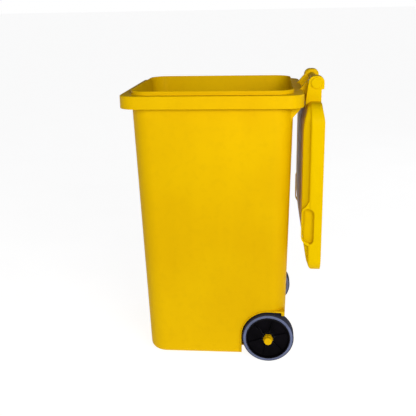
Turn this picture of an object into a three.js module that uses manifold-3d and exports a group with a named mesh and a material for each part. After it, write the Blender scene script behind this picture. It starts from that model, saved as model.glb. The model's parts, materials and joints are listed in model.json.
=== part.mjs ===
// Two-wheeled mobile waste container with a hinged lid, shown with its lid hanging open behind it.
// Units are millimetres, +Z is up, +X is the container's right side and +Y is its rear.
// The container stands on the plane Z = 0, on two wheels and a moulded front foot.
import * as THREE from 'three';
import { mergeVertices } from 'three/addons/utils/BufferGeometryUtils.js';
import Module from 'manifold-3d';

const wasm = await Module();
wasm.setup();

// ---- driving dimensions ----
const RIM_WIDTH = 580;
const RIM_FRONT = -320;
const RIM_REAR = 318;
const RIM_TOP = 1002;
const RIM_DEPTH = 45;
const RIM_CORNER = 60;
const RIM_WALL = 3.5;
const RIM_EDGE = 3;
const LIP_HEIGHT = 13.5;

const TUB_HALF_WIDTH = 266;
const TUB_FRONT = -284.6;
const TUB_REAR = 283.6;
const TUB_CORNER = 66;
const TUB_WALL = 4;
const BASE_LEVEL = 15;
const BASE_HALF_WIDTH = 256;
const BASE_FRONT = -252;
const BASE_REAR = 262.5;
const BASE_EDGE = 24;
const FLOOR_THICKNESS = 5;

const WHEEL_RADIUS = 96;
const WHEEL_Y = 202;
const WHEEL_OUTER_X = 275;
const TYRE_WIDTH = 45;
const TYRE_INNER_RADIUS = 82.4;
const TYRE_SIDE_RADIUS = 93.5;
const WELL_GAP = 4;
const WELL_INNER_X = 222;
const ARCH_FACE_X = 262;
const ARCH_ROOF_REAR = 251;
const ARCH_TAB_LEVEL = 183;
const ARCH_BAND = 5;
const AXLE_RADIUS = 10;
const AXLE_HALF_LENGTH = 274;
const NOTCH_FRONT = 176;
const NOTCH_ROOF = 122;

const HINGE_Y = 362;
const HINGE_Z = 1028;
const KNUCKLE_RADIUS = 24.5;
const BAR_RADIUS = 14;
const BRACKET_INNER_X = 104;
const BRACKET_OUTER_X = 118;
const ARM_INNER_X = 120;
const ARM_OUTER_X = 160;
const PIN_RADIUS = 8;
const PIN_HEAD_RADIUS = 19;

// The lid is drawn shut, with its hinge axis at the origin: it reaches forward from LID_REAR to
// LID_FRONT, and its heights are measured from the axis.
const LID_HALF_WIDTH = 280;
const LID_REAR = 63;
const LID_FRONT = 668;
const LID_CORNER = 65;
const LID_RIM = -25;
const SKIRT_TOP = 22;
const DOME_TOP = 47;
const DOME_SLOPE = 18;
const REAR_LIFT = 8;
const DOME_INSET = 18;
const LID_WALL = 3.5;

const GAP = 0.3;
const ROUND_STEPS = 40;
const SMALL_STEPS = 24;
const CORNER_STEPS = 6;
const OVERSHOOT = 20;
const FAR = 700;
const SIDES = [['right', 1], ['left', -1]];

const yellow = () => new THREE.MeshStandardMaterial({ color: 0xe8be00, roughness: 0.38, metalness: 0 });
const black = () => new THREE.MeshStandardMaterial({ color: 0x0c0c0d, roughness: 0.5, metalness: 0 });
const greyRubber = () => new THREE.MeshStandardMaterial({ color: 0x6c7386, roughness: 0.75, metalness: 0 });
const steel = () => new THREE.MeshStandardMaterial({ color: 0xb4b6b8, roughness: 0.32, metalness: 1 });
const nylon = () => new THREE.MeshStandardMaterial({ color: 0xe6e3d6, roughness: 0.45, metalness: 0 });

// ---- geometry to solid and back ----
function signedVolume(position, index) {
  const corners = [new THREE.Vector3(), new THREE.Vector3(), new THREE.Vector3()];
  let sum = 0;
  for (let i = 0; i < index.length; i += 3) {
    corners.forEach((corner, k) => corner.fromBufferAttribute(position, index[i + k]));
    sum += corners[0].dot(corners[1].cross(corners[2])) / 6;
  }
  return sum;
}

function toSolid(geometry) {
  const bare = geometry.clone();
  bare.deleteAttribute('normal');
  bare.deleteAttribute('uv');
  const merged = mergeVertices(bare, 1e-3);
  const triVerts = Uint32Array.from(merged.index.array);
  if (signedVolume(merged.attributes.position, triVerts) < 0) {
    for (let i = 0; i < triVerts.length; i += 3) {
      [triVerts[i], triVerts[i + 1]] = [triVerts[i + 1], triVerts[i]];
    }
  }
  const whole = [];
  for (let i = 0; i < triVerts.length; i += 3) {
    const [a, b, c] = triVerts.slice(i, i + 3);
    if (a !== b && b !== c && c !== a) whole.push(a, b, c);
  }
  const vertProperties = Float32Array.from(merged.attributes.position.array);
  return new wasm.Manifold(new wasm.Mesh({ numProp: 3, vertProperties, triVerts: Uint32Array.from(whole) }));
}

function fromSolid(solid) {
  const mesh = solid.getMesh();
  const geometry = new THREE.BufferGeometry();
  geometry.setAttribute('position', new THREE.BufferAttribute(Float32Array.from(mesh.vertProperties), 3));
  geometry.setIndex(new THREE.BufferAttribute(Uint32Array.from(mesh.triVerts), 1));
  geometry.computeVertexNormals();
  return geometry;
}

function joined(solids) {
  return solids.reduce((sum, solid) => sum.add(solid));
}

function mirrored(solid) {
  return solid.mirror([1, 0, 0]);
}

// ---- shape helpers ----
function roundedRectangle(x0, x1, y0, y1, radius) {
  const shape = new THREE.Shape();
  shape.moveTo(x0 + radius, y0);
  shape.lineTo(x1 - radius, y0);
  shape.absarc(x1 - radius, y0 + radius, radius, -Math.PI / 2, 0, false);
  shape.lineTo(x1, y1 - radius);
  shape.absarc(x1 - radius, y1 - radius, radius, 0, Math.PI / 2, false);
  shape.lineTo(x0 + radius, y1);
  shape.absarc(x0 + radius, y1 - radius, radius, Math.PI / 2, Math.PI, false);
  shape.lineTo(x0, y0 + radius);
  shape.absarc(x0 + radius, y0 + radius, radius, Math.PI, Math.PI * 1.5, false);
  return shape;
}

// A block over a plan shape, from z0 to z1. An edge radius rounds both its ends.
function block(shape, z0, z1, edge = 0, edgeSteps = 3) {
  const geometry = new THREE.ExtrudeGeometry(shape, {
    depth: z1 - z0 - 2 * edge,
    curveSegments: CORNER_STEPS,
    bevelEnabled: edge > 0,
    bevelThickness: edge,
    bevelSize: edge,
    bevelOffset: -edge,
    bevelSegments: edgeSteps,
  });
  geometry.translate(0, 0, z0 + edge);
  return geometry;
}

function box(x0, x1, y0, y1, z0, z1) {
  const geometry = new THREE.BoxGeometry(x1 - x0, y1 - y0, z1 - z0);
  geometry.translate((x0 + x1) / 2, (y0 + y1) / 2, (z0 + z1) / 2);
  return toSolid(geometry);
}

// A side outline, drawn with Y across and Z up, given thickness from x0 to x1.
const SIDE_ON = new THREE.Matrix4().makeBasis(
  new THREE.Vector3(0, 1, 0),
  new THREE.Vector3(0, 0, 1),
  new THREE.Vector3(1, 0, 0),
);

function plate(outline, x0, x1) {
  const shape = Array.isArray(outline)
    ? new THREE.Shape(outline.map(([y, z]) => new THREE.Vector2(y, z)))
    : outline;
  const options = { depth: x1 - x0, bevelEnabled: false, curveSegments: CORNER_STEPS };
  const geometry = new THREE.ExtrudeGeometry(shape, options);
  geometry.applyMatrix4(SIDE_ON);
  geometry.translate(x0, 0, 0);
  return toSolid(geometry);
}

// A solid of revolution about an X-wise axis. The profile lists [x, radius] pairs.
const ABOUT_X = new THREE.Matrix4().makeBasis(
  new THREE.Vector3(0, 0, 1),
  new THREE.Vector3(1, 0, 0),
  new THREE.Vector3(0, 1, 0),
);

function turned(profile, steps = ROUND_STEPS) {
  const points = profile.map(([x, radius]) => new THREE.Vector2(radius, x));
  const geometry = new THREE.LatheGeometry(points, steps);
  geometry.applyMatrix4(ABOUT_X);
  return toSolid(geometry);
}

function rod(radius, x0, x1, steps = ROUND_STEPS) {
  return turned([[x0, 0], [x0, radius], [x1, radius], [x1, 0]], steps);
}

function sleeve(inner, outer, x0, x1) {
  return turned([[x0, inner], [x0, outer], [x1, outer], [x1, inner], [x0, inner]], SMALL_STEPS);
}

// ---- container body ----
function taperTub(geometry) {
  const position = geometry.attributes.position;
  const height = RIM_TOP - BASE_LEVEL;
  const length = TUB_REAR - TUB_FRONT;
  for (let i = 0; i < position.count; i += 1) {
    const drop = (RIM_TOP - position.getZ(i)) / height;
    const widthScale = 1 - drop * (TUB_HALF_WIDTH - BASE_HALF_WIDTH) / TUB_HALF_WIDTH;
    const along = (position.getY(i) - TUB_FRONT) / length;
    const front = TUB_FRONT + drop * (BASE_FRONT - TUB_FRONT);
    const rear = TUB_REAR + drop * (BASE_REAR - TUB_REAR);
    position.setX(i, position.getX(i) * widthScale);
    position.setY(i, front + along * (rear - front));
  }
  return geometry;
}

function tubBlock(inset, z0, z1, edge) {
  const plan = roundedRectangle(
    inset - TUB_HALF_WIDTH, TUB_HALF_WIDTH - inset,
    TUB_FRONT + inset, TUB_REAR - inset, TUB_CORNER - inset,
  );
  return toSolid(taperTub(block(plan, z0, z1 + edge, edge)));
}

function tubOuter() {
  const lipTop = RIM_TOP + LIP_HEIGHT;
  const tall = tubBlock(0, BASE_LEVEL, lipTop, BASE_EDGE);
  const above = box(-FAR, FAR, -FAR, FAR, lipTop, lipTop + 2 * BASE_EDGE);
  return tall.subtract(above);
}

function tubHollow() {
  const open = RIM_TOP + LIP_HEIGHT + OVERSHOOT;
  return tubBlock(TUB_WALL, BASE_LEVEL + FLOOR_THICKNESS, open, BASE_EDGE - TUB_WALL);
}

function rimRing() {
  const halfWidth = RIM_WIDTH / 2;
  const bottom = RIM_TOP - RIM_DEPTH;
  const outer = roundedRectangle(-halfWidth, halfWidth, RIM_FRONT, RIM_REAR, RIM_CORNER);
  const inner = roundedRectangle(
    RIM_WALL - halfWidth, halfWidth - RIM_WALL,
    RIM_FRONT + RIM_WALL, RIM_REAR - RIM_WALL, RIM_CORNER - RIM_WALL,
  );
  const skirt = toSolid(block(outer, bottom - RIM_EDGE, RIM_TOP, RIM_EDGE, 1));
  const below = box(-FAR, FAR, -FAR, FAR, bottom - OVERSHOOT, bottom);
  const hollow = toSolid(block(inner, bottom - OVERSHOOT, RIM_TOP - TUB_WALL));
  return skirt.subtract(below).subtract(hollow);
}

// Triangular gussets carry the rear of the rim, where the handle and the lid pull on it.
function rearGussets() {
  const thickness = 4;
  const rear = RIM_REAR - 1;
  const outline = [
    [250, RIM_TOP - 1], [rear, RIM_TOP - 1], [rear, RIM_TOP - RIM_DEPTH + 5],
    [277, RIM_TOP - 88], [250, RIM_TOP - 118],
  ];
  return [-228, -111, -37, 37, 111, 228].map((x) => plate(outline, x - thickness / 2, x + thickness / 2));
}

function frontRibs() {
  const thickness = 3.5;
  const front = RIM_FRONT + 1;
  const bottom = RIM_TOP - RIM_DEPTH + 3;
  const outline = [[front, bottom], [-268, bottom], [-268, RIM_TOP - 1], [front, RIM_TOP - 1]];
  return [-200, -120, -40, 40, 120, 200].map((x) => plate(outline, x - thickness / 2, x + thickness / 2));
}

function sideRibs() {
  const thickness = 3.5;
  const outer = RIM_WIDTH / 2 - 1;
  const bottom = RIM_TOP - RIM_DEPTH + 15;
  const ribs = [];
  for (const y of [-180, -60, 60, 180]) {
    ribs.push(box(255, outer, y - thickness / 2, y + thickness / 2, bottom, RIM_TOP - 1));
    ribs.push(box(-outer, -255, y - thickness / 2, y + thickness / 2, bottom, RIM_TOP - 1));
  }
  return ribs;
}

// Two brackets reach back from the rim and end in the eyes that carry the handle bar and the lid pins.
function hingeBracket() {
  const web = plate([
    [300, RIM_TOP - RIM_DEPTH + 1], [317, RIM_TOP - RIM_DEPTH + 1],
    [HINGE_Y + 15, HINGE_Z - 19.4], [HINGE_Y - 18.6, HINGE_Z + 16], [306, RIM_TOP], [300, RIM_TOP - 1],
  ], BRACKET_INNER_X, BRACKET_OUTER_X);
  const eye = rod(KNUCKLE_RADIUS, BRACKET_INNER_X, BRACKET_OUTER_X).translate([0, HINGE_Y, HINGE_Z]);
  return web.add(eye);
}

function handleBar() {
  const reach = BRACKET_INNER_X + 2;
  return rod(BAR_RADIUS, -reach, reach).translate([0, HINGE_Y, HINGE_Z]);
}

function pinBore() {
  return rod(PIN_RADIUS + GAP, BRACKET_INNER_X - 16, BRACKET_OUTER_X + OVERSHOOT)
    .translate([0, HINGE_Y, HINGE_Z]);
}

// An outline over a wheel: an arch at a distance beyond the tyre, with straight sides below it.
function archOutline(distance) {
  const radius = WHEEL_RADIUS + distance;
  const shape = new THREE.Shape();
  shape.moveTo(WHEEL_Y - radius, -OVERSHOOT);
  shape.lineTo(WHEEL_Y + radius, -OVERSHOOT);
  shape.lineTo(WHEEL_Y + radius, WHEEL_RADIUS);
  shape.absarc(WHEEL_Y, WHEEL_RADIUS, radius, 0, Math.PI, false);
  return shape;
}

function archPlate(distance, x0, x1) {
  const options = { depth: x1 - x0, bevelEnabled: false, curveSegments: 24 };
  const geometry = new THREE.ExtrudeGeometry(archOutline(distance), options);
  geometry.applyMatrix4(SIDE_ON);
  geometry.translate(x0, 0, 0);
  return toSolid(geometry);
}

// The space that a wheel turns in. Behind the wheel's top its roof runs straight back, to a small tab.
function wheelSpace(extra, x0, x1) {
  const distance = WELL_GAP + extra;
  const roof = WHEEL_RADIUS * 2 + distance - 1.5;
  const rear = ARCH_ROOF_REAR + extra;
  const arch = archPlate(distance, x0, x1);
  const roofSpace = plate([
    [WHEEL_Y, WHEEL_RADIUS], [rear, WHEEL_RADIUS], [rear, roof - 8], [rear - 2.5, roof - 2.5],
    [rear - 8, roof], [WHEEL_Y, roof + 1.5],
  ], x0, x1);
  const behind = box(x0, x1, WHEEL_Y, WHEEL_Y + WHEEL_RADIUS + distance, -OVERSHOOT, ARCH_TAB_LEVEL + extra);
  return arch.add(roofSpace).add(behind);
}

// A narrow band edges the arch. It stands out most at the rear, where the tub's corner curves away.
function archBand() {
  const inner = WELL_INNER_X - TUB_WALL;
  const band = wheelSpace(ARCH_BAND, inner, ARCH_FACE_X);
  const top = WHEEL_RADIUS * 2 + WELL_GAP;
  const tab = box(inner, ARCH_FACE_X, ARCH_ROOF_REAR, BASE_REAR, ARCH_TAB_LEVEL, top);
  const kept = box(0, RIM_WIDTH, 0, BASE_REAR, BASE_LEVEL + 6, RIM_TOP);
  return band.add(tab).intersect(kept);
}

function axleNotch(extra) {
  return box(-FAR, FAR, NOTCH_FRONT - extra, FAR, -OVERSHOOT, NOTCH_ROOF + extra);
}

// Upright plates under the notch roof hold the axle.
function axlePlates() {
  const thickness = 6;
  const bottom = WHEEL_RADIUS - 22;
  const plates = [];
  for (const x of [-208, -70, 70, 208]) {
    plates.push(box(x - thickness / 2, x + thickness / 2, NOTCH_FRONT - 2, WHEEL_Y + 34, bottom, NOTCH_ROOF + 2));
  }
  return joined(plates);
}

function frontFoot() {
  return box(-150, 150, -215, -185, 0, BASE_LEVEL + FLOOR_THICKNESS - 1);
}

function containerBody() {
  const bracket = hingeBracket();
  const band = archBand();
  const outside = joined([
    tubOuter(), rimRing(), bracket, mirrored(bracket), handleBar(), band, mirrored(band),
    ...rearGussets(), ...frontRibs(), ...sideRibs(),
  ]);
  const wellWall = wheelSpace(TUB_WALL, WELL_INNER_X - TUB_WALL, RIM_WIDTH);
  const hollow = tubHollow().subtract(wellWall).subtract(mirrored(wellWall)).subtract(axleNotch(TUB_WALL));
  const well = wheelSpace(0, WELL_INNER_X, RIM_WIDTH);
  const bore = pinBore();
  return outside
    .subtract(hollow)
    .subtract(well)
    .subtract(mirrored(well))
    .subtract(axleNotch(0))
    .add(axlePlates())
    .add(frontFoot())
    .subtract(rod(AXLE_RADIUS + GAP, -RIM_WIDTH, RIM_WIDTH).translate([0, WHEEL_Y, WHEEL_RADIUS]))
    .subtract(bore)
    .subtract(mirrored(bore));
}

// ---- lid, drawn shut about its hinge axis ----
// Heights of the lid's crown along its length: it rises from the hinge end and falls to the front.
const CROWN = [
  [63, 28], [90, 36], [130, 44], [170, 47], [400, 47],
  [470, 45.5], [540, 39], [600, 30], [640, 21], [668, 8],
];

// The skirt's lower edge is lifted at the hinge end, by the lift.
function crownProfile(lower, bottom, lift) {
  const knots = CROWN.map(([ahead, height]) => new THREE.Vector2(-ahead, height - lower));
  const top = new THREE.SplineCurve(knots).getPoints(22);
  const front = top[top.length - 1];
  const rear = top[0];
  const outline = [
    [rear.x + OVERSHOOT, bottom + lift],
    [rear.x + OVERSHOOT, rear.y],
    ...top.map((point) => [point.x, point.y]),
    [front.x - OVERSHOOT, front.y - OVERSHOOT / 2],
    [front.x - OVERSHOOT, bottom],
    [-LID_REAR - 55, bottom],
    [-LID_REAR, bottom + lift],
  ];
  return plate(outline, -RIM_WIDTH, RIM_WIDTH);
}

function lidForm(inset) {
  const skirtPlan = roundedRectangle(
    inset - LID_HALF_WIDTH, LID_HALF_WIDTH - inset,
    inset - LID_FRONT, -LID_REAR - inset, LID_CORNER - inset,
  );
  const domeInset = DOME_INSET + inset;
  const domePlan = roundedRectangle(
    domeInset - LID_HALF_WIDTH, LID_HALF_WIDTH - domeInset,
    domeInset - LID_FRONT, -LID_REAR - domeInset + DOME_INSET, LID_CORNER - domeInset,
  );
  const skirtEdge = 9 - inset;
  const domeEdge = DOME_SLOPE - inset;
  const skirt = toSolid(block(skirtPlan, LID_RIM - OVERSHOOT, SKIRT_TOP - inset, skirtEdge, 2));
  const dome = toSolid(block(domePlan, LID_RIM - OVERSHOOT, DOME_TOP + 1 - inset, domeEdge, 2));
  const profile = inset > 0
    ? crownProfile(inset, LID_RIM - OVERSHOOT, 0)
    : crownProfile(0, LID_RIM, REAR_LIFT);
  return skirt.add(dome).intersect(profile);
}

function lidArm() {
  const eye = rod(KNUCKLE_RADIUS, ARM_INNER_X, ARM_OUTER_X);
  const web = plate([
    [4, -28], [-21, -28], [-21, -19], [-LID_REAR - 2, -19], [-96, 30], [-96, 38], [-LID_REAR, 37],
    [-6, 23.7], [0, 0], [KNUCKLE_RADIUS, 0], [KNUCKLE_RADIUS, -8], [21, -18], [14, -25],
  ], ARM_INNER_X, ARM_OUTER_X);
  const wall = 4;
  const pocket = plate([
    [-32, LID_RIM - OVERSHOOT], [-LID_REAR + 1, LID_RIM - OVERSHOOT], [-LID_REAR + 1, 32], [-32, 26],
  ], ARM_INNER_X + wall, ARM_OUTER_X - wall);
  return eye.add(web).subtract(pocket);
}

// A finger grip on each long side: a scoop cut down into the skirt, bridged by a thin loop.
const GRIP_START = 424;
const GRIP_END = 556;
const SCOOP_FLOOR = 3;

function gripScoop(extra) {
  const radius = 20 + extra;
  const y0 = -GRIP_END - extra;
  const y1 = -GRIP_START + extra;
  const z0 = SCOOP_FLOOR - extra;
  const shape = roundedRectangle(y0, y1, z0, z0 + 4 * radius, radius);
  return plate(shape, LID_HALF_WIDTH - DOME_INSET - extra, LID_HALF_WIDTH + OVERSHOOT);
}

function gripLoop() {
  const outer = plate([
    [-396, 18], [-396, 21.5], [-414, 32], [-424, 43], [-434, 47],
    [-530, 47], [-541, 44], [-552, 36], [-563, 18],
  ], 265, 277);
  const inner = plate([
    [-424, 10], [-424, 32], [-431, 40], [-437, 42.7], [-527, 42.7], [-536, 40], [-546, 33], [-556, 10],
  ], 260, 285);
  return outer.subtract(inner);
}

function lidShell() {
  const arm = lidArm();
  const loop = gripLoop();
  const scoop = gripScoop(0);
  const scoopWall = gripScoop(LID_WALL);
  const bore = rod(PIN_RADIUS + GAP, ARM_INNER_X - OVERSHOOT, ARM_OUTER_X + OVERSHOOT);
  const hollow = lidForm(LID_WALL).subtract(scoopWall).subtract(mirrored(scoopWall));
  return joined([lidForm(0), arm, mirrored(arm)])
    .subtract(hollow)
    .subtract(scoop)
    .subtract(mirrored(scoop))
    .add(loop)
    .add(mirrored(loop))
    .subtract(bore)
    .subtract(mirrored(bore));
}

// ---- hinge pin, wheels and axle, drawn for the right side ----
function hingePin() {
  const tip = BRACKET_INNER_X - 14;
  const face = ARM_OUTER_X + GAP;
  return turned([
    [tip, 0], [tip, PIN_RADIUS - 2], [tip + 3, PIN_RADIUS], [face, PIN_RADIUS], [face, PIN_HEAD_RADIUS],
    [face + 3, PIN_HEAD_RADIUS], [face + 4.5, PIN_HEAD_RADIUS - 1.5],
    [face + 5, PIN_HEAD_RADIUS - 5], [face + 5, 0],
  ], SMALL_STEPS);
}

function tyre() {
  const outer = WHEEL_OUTER_X;
  const inner = outer - TYRE_WIDTH;
  return turned([
    [inner, TYRE_INNER_RADIUS], [inner, TYRE_SIDE_RADIUS], [inner + 1.5, WHEEL_RADIUS - 0.8],
    [inner + 5, WHEEL_RADIUS], [outer - 5, WHEEL_RADIUS], [outer - 1.5, WHEEL_RADIUS - 0.8],
    [outer, TYRE_SIDE_RADIUS], [outer, TYRE_INNER_RADIUS], [inner, TYRE_INNER_RADIUS],
  ]);
}

const BUSH_RADIUS = 13;
const BOSS_RADIUS = 24;
const BOSS_FACE_X = 270;
const BOSS_BACK_X = 227;
const HUB_FRONT_X = 280;
const HUB_SPOKES = 6;
const FIRST_SPOKE = 16;

function wheelHub() {
  const seat = TYRE_INNER_RADIUS - GAP;
  const rimInside = seat - 5;
  const rimFront = HUB_FRONT_X;
  const rimBack = rimFront - TYRE_WIDTH + 3;
  const bore = BUSH_RADIUS + GAP;
  const body = turned([
    [BOSS_BACK_X, bore], [BOSS_BACK_X, BOSS_RADIUS], [252, BOSS_RADIUS + 2], [258, rimInside - 4],
    [rimBack, rimInside], [rimBack, seat], [rimFront, seat], [rimFront, seat - 2.5], [269, rimInside - 3],
    [265, BOSS_RADIUS + 6], [266, BOSS_RADIUS], [BOSS_FACE_X, BOSS_RADIUS - 1], [BOSS_FACE_X, bore],
    [BOSS_BACK_X, bore],
  ]);
  const spokes = [];
  for (let i = 0; i < HUB_SPOKES; i += 1) {
    const spoke = box(260, 271, -1.8, 1.8, BOSS_RADIUS - 3, rimInside);
    spokes.push(spoke.rotate([FIRST_SPOKE - 90 + i * 360 / HUB_SPOKES, 0, 0]));
  }
  return joined([body, ...spokes]);
}

function hubBush() {
  return sleeve(AXLE_RADIUS + GAP, BUSH_RADIUS, BOSS_BACK_X, BOSS_FACE_X);
}

function axleSpacer() {
  return sleeve(AXLE_RADIUS + GAP, AXLE_RADIUS + 5, 211 + GAP, BOSS_BACK_X - GAP);
}

const NUT_RADIUS = 14;

function pushNut() {
  const x0 = BOSS_FACE_X + GAP;
  return turned([
    [x0, AXLE_RADIUS + GAP], [x0, NUT_RADIUS], [x0 + 1.2, NUT_RADIUS], [x0 + 2.4, AXLE_RADIUS + 1.5],
    [x0 + 2.4, AXLE_RADIUS + GAP], [x0, AXLE_RADIUS + GAP],
  ], SMALL_STEPS);
}

// The cap has a six-sided base on the hub's boss and a round nose over the axle's end.
function hubCap() {
  const base = BOSS_FACE_X + GAP;
  const hexFace = 288;
  const noseEnd = 301;
  const hexRadius = 20;
  const noseRadius = 15.5;
  const hexagon = rod(hexRadius, base, hexFace, 6);
  const nose = turned([
    [base + 1, 0], [base + 1, noseRadius], [noseEnd - 2, noseRadius], [noseEnd - 0.6, noseRadius - 0.6],
    [noseEnd, noseRadius - 2], [noseEnd, 0],
  ], SMALL_STEPS);
  const hollow = turned([
    [base - 1, 0], [base - 1, NUT_RADIUS + 1], [base + 4, NUT_RADIUS + 1], [base + 4, NUT_RADIUS - 1],
    [noseEnd - 2.5, NUT_RADIUS - 1], [noseEnd - 2.5, 0],
  ], SMALL_STEPS);
  return hexagon.add(nose).subtract(hollow);
}

// ---- assembly ----
// The origin is under the middle of everything, with the lid hanging open behind the container.
const LID_HANGING = Math.PI / 2;
const REARMOST = HINGE_Y + 28;
const FRONTMOST = RIM_FRONT;

const container = new THREE.Group();
container.position.y = -(REARMOST + FRONTMOST) / 2;

function place(parent, name, solid, material) {
  const mesh = new THREE.Mesh(fromSolid(solid), material);
  mesh.name = name;
  parent.add(mesh);
}

place(container, 'container_body', containerBody(), yellow());

const lidGroup = new THREE.Group();
lidGroup.position.set(0, HINGE_Y, HINGE_Z);
lidGroup.rotation.x = LID_HANGING;
container.add(lidGroup);
place(lidGroup, 'lid_shell', lidShell(), yellow());

const hingeGroup = new THREE.Group();
hingeGroup.position.set(0, HINGE_Y, HINGE_Z);
container.add(hingeGroup);

const wheelGroup = new THREE.Group();
wheelGroup.position.set(0, WHEEL_Y, WHEEL_RADIUS);
container.add(wheelGroup);
place(wheelGroup, 'axle', rod(AXLE_RADIUS, -AXLE_HALF_LENGTH, AXLE_HALF_LENGTH), steel());

const RIGHT_SIDE_PIECES = [
  [hingeGroup, 'hinge_pin', hingePin(), yellow],
  [wheelGroup, 'tyre', tyre(), greyRubber],
  [wheelGroup, 'wheel_hub', wheelHub(), black],
  [wheelGroup, 'hub_bush', hubBush(), nylon],
  [wheelGroup, 'axle_spacer', axleSpacer(), nylon],
  [wheelGroup, 'push_nut', pushNut(), steel],
  [wheelGroup, 'hub_cap', hubCap(), yellow],
];
for (const [parent, name, solid, material] of RIGHT_SIDE_PIECES) {
  for (const [side, sign] of SIDES) {
    place(parent, `${name}_${side}`, sign > 0 ? solid : mirrored(solid), material());
  }
}

export default container;
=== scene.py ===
# %% [markdown]
# # A two-wheeled waste container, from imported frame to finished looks
#
# This lesson dresses a mechanical model of a wheeled waste container: a tall tapered tub with a deep rim,
# a lid that hangs open behind it on two pins, and two rubber-tyred wheels on a steel axle.
# The mechanical model already says where everything is and how it moves. It is faceted and plain, so each
# of its pieces is made again here as a smooth moulding, in the same place and at the same size.

import json
import math

import bmesh
import bpy
from mathutils import Matrix, Vector


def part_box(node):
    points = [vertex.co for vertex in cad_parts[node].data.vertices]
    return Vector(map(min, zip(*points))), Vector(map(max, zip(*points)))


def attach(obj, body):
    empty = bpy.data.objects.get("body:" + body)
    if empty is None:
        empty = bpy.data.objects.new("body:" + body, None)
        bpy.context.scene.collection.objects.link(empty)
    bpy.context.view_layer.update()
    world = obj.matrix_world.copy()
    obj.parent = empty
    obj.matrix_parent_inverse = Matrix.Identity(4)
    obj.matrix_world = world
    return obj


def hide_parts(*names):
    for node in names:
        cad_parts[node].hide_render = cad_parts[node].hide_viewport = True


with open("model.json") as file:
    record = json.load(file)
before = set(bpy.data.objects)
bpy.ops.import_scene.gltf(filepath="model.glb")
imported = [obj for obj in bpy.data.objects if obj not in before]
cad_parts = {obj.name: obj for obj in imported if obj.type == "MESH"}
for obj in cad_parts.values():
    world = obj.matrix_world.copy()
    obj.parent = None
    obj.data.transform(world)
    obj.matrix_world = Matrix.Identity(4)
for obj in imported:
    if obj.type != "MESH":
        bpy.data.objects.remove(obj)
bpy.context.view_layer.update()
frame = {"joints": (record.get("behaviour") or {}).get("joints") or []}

# %% [markdown]
# ## Where things are
#
# Every place in this file comes from a few sizes of the frame, so nothing has to be fitted by eye.
# A moulder's drawing is in millimetres, and Blender's unit is the metre. The shapes below are therefore
# written in millimetres, and one helper turns them into metres when it makes the mesh.
# The hinge line and the wheel centres are the places of the frame's joints. The rim is measured from the
# hinge line. FIT is the clearance between pieces that touch, such as a pin in its bore.

# %% Sizes taken from the frame, in millimetres
MM = 0.001


def in_mm(point):
    return Vector(point) / MM


joint_at = {joint["name"]: in_mm(joint["pos_m"]) for joint in frame["joints"]}
hinge = joint_at["lid_hinge"]
wheel = joint_at["wheel_right_spin"]
body_low, body_high = (in_mm(corner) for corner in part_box("container_body"))
tyre_low, tyre_high = (in_mm(corner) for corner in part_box("tyre_right"))
pin_low, pin_high = (in_mm(corner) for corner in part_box("hinge_pin_right"))
axle_end = in_mm(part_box("axle")[1]).x
hub_low, hub_high = (in_mm(corner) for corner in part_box("wheel_hub_right"))
cap_low, cap_high = (in_mm(corner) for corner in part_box("hub_cap_right"))

HINGE_BEHIND_RIM = 44.0
HINGE_ABOVE_RIM = 26.0
FIT = 0.3

rim_half_width = body_high.x
rim_front = body_low.y
rim_rear = hinge.y - HINGE_BEHIND_RIM
rim_top = hinge.z - HINGE_ABOVE_RIM
print(f"hinge at {tuple(hinge)}, wheel at {tuple(wheel)}, rim top {rim_top:.1f} mm")

# %% [markdown]
# ## Camera
#
# The view is the one a seller would use: standing a little over two metres from the container's right
# side, with the eye just above the rim, looking slightly down so that the mouth shows.
# A camera in Blender looks along its own -Z axis. Its direction is therefore built here from three plain
# angles: how far it is turned, how far it looks down, and a degree of roll from a hand-held shot.

# %% Place the camera
CAMERA_AT = Vector((2.504, 0.1571, 1.2856))
TURN = -0.0925
LOOK_DOWN = 0.2951
ROLL = -0.0181
LENS = 57.0
SENSOR = 36.0

forward = Vector((
    -math.cos(TURN) * math.cos(LOOK_DOWN),
    math.sin(TURN) * math.cos(LOOK_DOWN),
    -math.sin(LOOK_DOWN),
))
level_right = Vector((math.sin(TURN), math.cos(TURN), 0))
level_up = level_right.cross(forward)
right = math.cos(ROLL) * level_right + math.sin(ROLL) * level_up
up = math.cos(ROLL) * level_up - math.sin(ROLL) * level_right

camera_data = bpy.data.cameras.new("camera")
camera_data.lens = LENS
camera_data.sensor_width = SENSOR
camera = bpy.data.objects.new("camera", camera_data)
camera.matrix_world = Matrix.Translation(CAMERA_AT) @ Matrix((right, up, -forward)).transposed().to_4x4()
bpy.context.scene.collection.objects.link(camera)
bpy.context.scene.camera = camera
print("camera at", tuple(CAMERA_AT), "lens", LENS)

# %% [markdown]
# ## Studio: floor, room and lamps
#
# The container stands on a plain pale sweep under soft light. Every part of that studio is made of shader
# nodes, so a few helpers come first. One adds a node and sets or links its inputs by name. The others are
# the three things that a material is made of most often: a ramp between two colours, a mixture of two
# colours, and a value moved from one range to another.
# The "Standard" view is chosen because the filmic ones wash a strong yellow out.

# %% Shader helpers
bpy.context.scene.view_settings.view_transform = "Standard"


def node(tree, kind, settings=None, **inputs):
    """Adds a shader node. Inputs go by name: a value that is a socket is linked, and others are set."""
    made = tree.nodes.new(kind)
    for name, value in (settings or {}).items():
        setattr(made, name, value)
    for name, value in inputs.items():
        socket = made.inputs[name.replace("_", " ")]
        if isinstance(value, bpy.types.NodeSocket):
            tree.links.new(value, socket)
        else:
            socket.default_value = value
    return made


def ramp(tree, factor, low, high, from_value, to_value):
    """A colour that goes from low to high while the factor goes between two values."""
    made = node(tree, "ShaderNodeValToRGB", Fac=factor)
    made.color_ramp.elements[0].position = from_value
    made.color_ramp.elements[0].color = low
    made.color_ramp.elements[1].position = to_value
    made.color_ramp.elements[1].color = high
    return made.outputs["Color"]


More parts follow.
